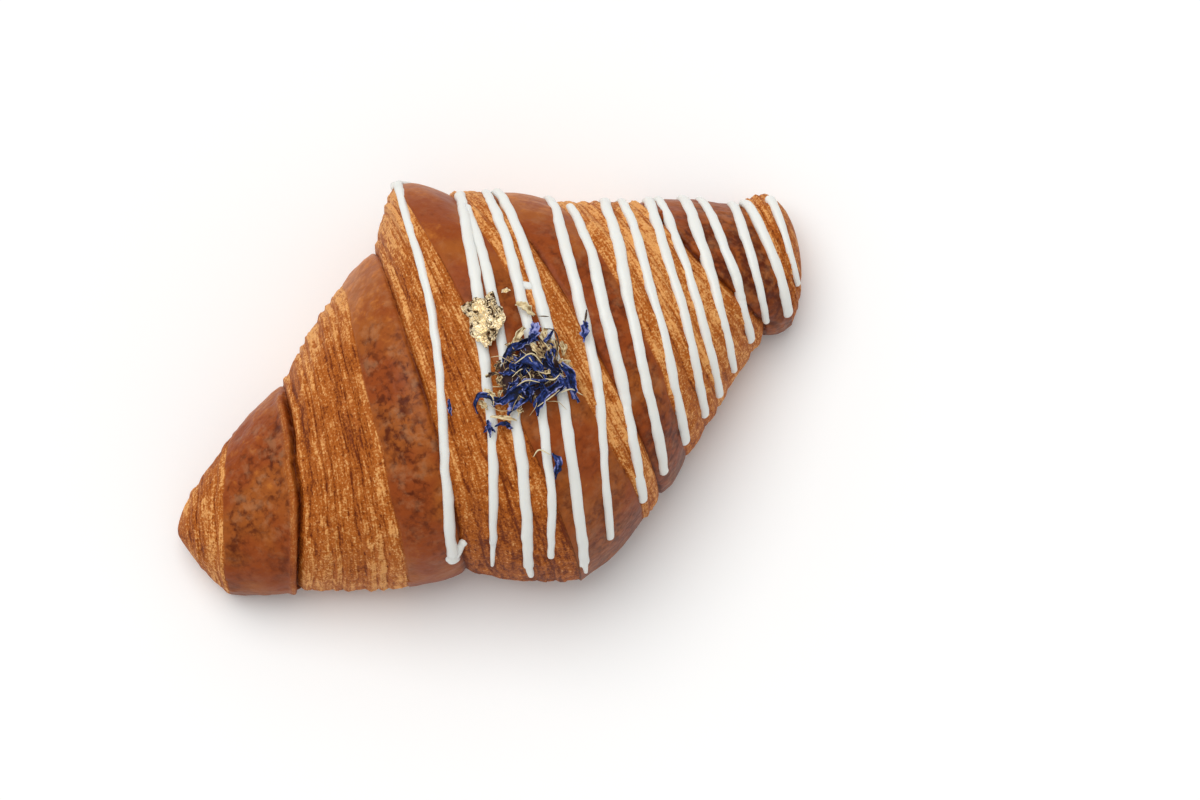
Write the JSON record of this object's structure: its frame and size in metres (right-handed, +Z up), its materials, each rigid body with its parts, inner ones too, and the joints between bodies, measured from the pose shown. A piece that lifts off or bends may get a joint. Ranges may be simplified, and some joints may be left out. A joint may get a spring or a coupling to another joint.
{
  "type": "iced croissant",
  "caption": "Baked croissant with a flat base, stepped wraps, thin piped icing lines, a heap of dried blue petals and a flake of gold leaf.",
  "frame": {"origin": "middle of the bounding box, on the plane of the flat underside", "axes": "+X along the roll towards the blunt right tip, -Y the front side, +Z up"},
  "size_m": [0.1496, 0.0946, 0.0599],
  "materials": {
    "baked_dough": "baked crust, brown and slightly glossy on the wraps, golden and matt on the layered cut edges",
    "icing": "set white icing, satin",
    "dried_petals": "dried petals, deep blue and violet, matt",
    "dried_calyx": "dried cream and brown flower parts, matt",
    "gold": "crumpled gold leaf, bright"
  },
  "bodies": {
    "root": {"croissant": "baked_dough", "cornflower_petals": "dried_petals", "gold_leaf": "gold"}
  },
  "joints": []
}
